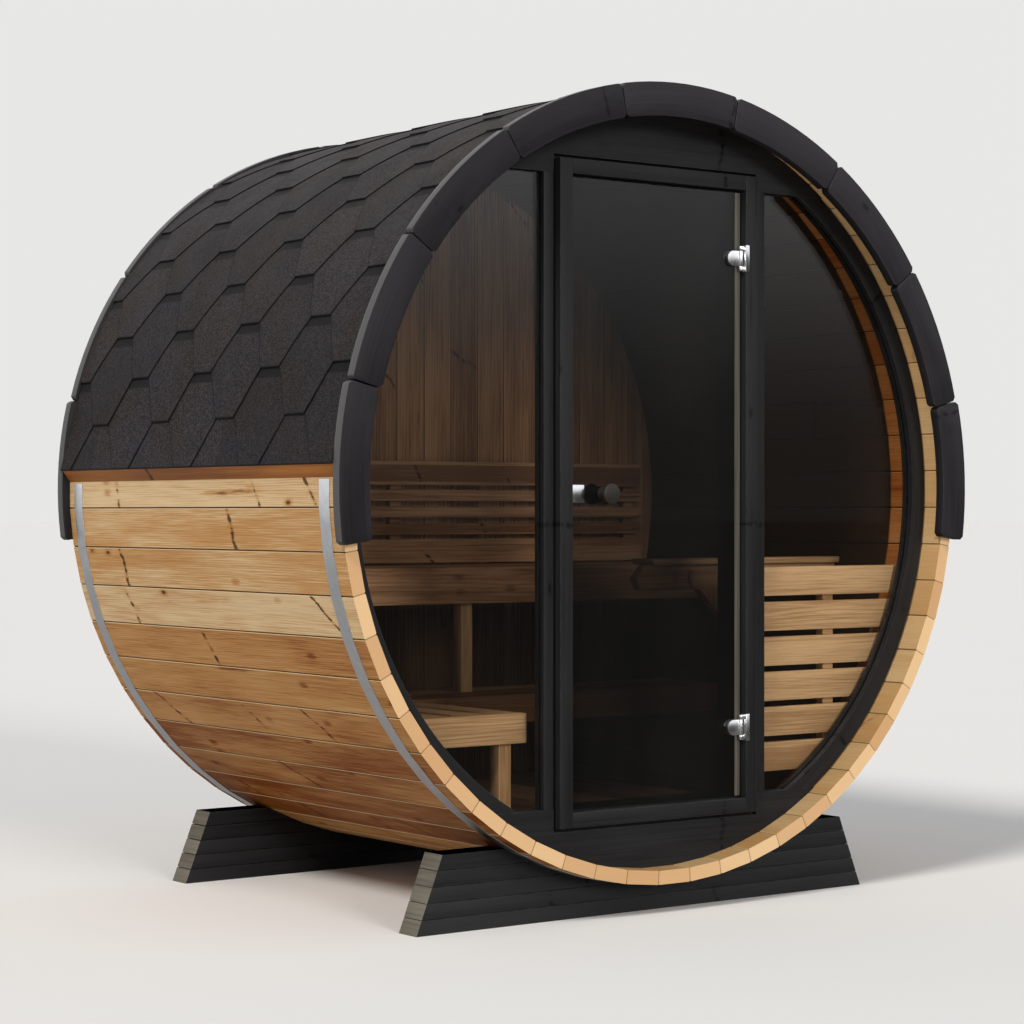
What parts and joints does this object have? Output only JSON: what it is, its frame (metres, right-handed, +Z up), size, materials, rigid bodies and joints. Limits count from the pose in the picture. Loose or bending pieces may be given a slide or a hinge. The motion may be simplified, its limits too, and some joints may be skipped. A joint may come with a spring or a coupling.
{
  "type": "barrel sauna",
  "caption": "Barrel sauna of horizontal staves on cradles, with a shingled upper half, glazed front wall, hinged glass door, benches and backrest inside.",
  "frame": {"origin": "on the ground, at the centre of the bounding box seen from above", "axes": "+Z up, -Y out of the glazed front, +X to the right as seen from the front; the barrel axis runs along Y"},
  "size_m": [2.06, 1.406, 2.0918],
  "materials": {
    "stave_wood": "planed softwood, clear oiled",
    "batten_wood": "planed softwood, reddish",
    "black_wood": "softwood painted charcoal black, matte",
    "roof_felt": "granulated bitumen shingle",
    "inner_wood": "heat-treated softwood, bare",
    "pale_wood": "planed softwood, bare",
    "galvanised_steel": "galvanised",
    "smoked_glass": "smoked, polished",
    "seal_plastic": "translucent",
    "hinge_chrome": "polished",
    "knob_wood": "turned, oiled"
  },
  "bodies": {
    "sauna": {"barrel_staves_1": "stave_wood", "barrel_staves_2": "stave_wood", "barrel_staves_3": "stave_wood", "barrel_staves_4": "stave_wood", "barrel_staves_5": "stave_wood", "barrel_staves_6": "stave_wood", "barrel_staves_7": "stave_wood", "barrel_staves_8": "stave_wood", "barrel_staves_9": "stave_wood", "barrel_staves_10": "stave_wood", "roof_cover_left": "roof_felt", "roof_cover_upper_left": "roof_felt", "roof_cover_ridge": "roof_felt", "roof_cover_upper_right": "roof_felt", "roof_cover_right": "roof_felt", "eave_batten_left": "batten_wood", "wall_post_left": "black_wood", "wall_ring_left": "black_wood", "window_glass_left": "smoked_glass", "door_jamb_left": "black_wood", "eave_batten_right": "batten_wood", "wall_post_right": "black_wood", "wall_ring_right": "black_wood", "window_glass_right": "smoked_glass", "door_jamb_right": "black_wood", "front_trim": "black_wood", "strap_front": "galvanised_steel", "cradle_front": "black_wood", "back_trim": "black_wood", "strap_back": "galvanised_steel", "cradle_back": "black_wood", "wall_header": "black_wood", "wall_sill": "black_wood", "door_head": "black_wood", "door_threshold": "black_wood", "back_wall": "inner_wood", "backrest": "inner_wood", "upper_bench": "inner_wood", "lower_bench_back": "inner_wood", "floor": "inner_wood", "lower_bench_left": "pale_wood", "bench_legs": "pale_wood", "guard_screen": "pale_wood", "guard_shelf": "pale_wood", "guard_rail": "inner_wood", "guard_bracket": "inner_wood", "upper_hinge_plate": "hinge_chrome", "lower_hinge_plate": "hinge_chrome"},
    "door": {"door_glass": "smoked_glass", "door_seal": "seal_plastic", "door_knob": "knob_wood", "catch_plate": "hinge_chrome", "upper_hinge_clamp": "hinge_chrome", "lower_hinge_clamp": "hinge_chrome"}
  },
  "joints": [
    {"name": "door_hinge", "type": "hinge", "parent": "sauna", "child": "door", "pos_m": [0.276, -0.616, 1.06], "axis": [0, 0, 1], "range_deg": [0, 100]}
  ]
}
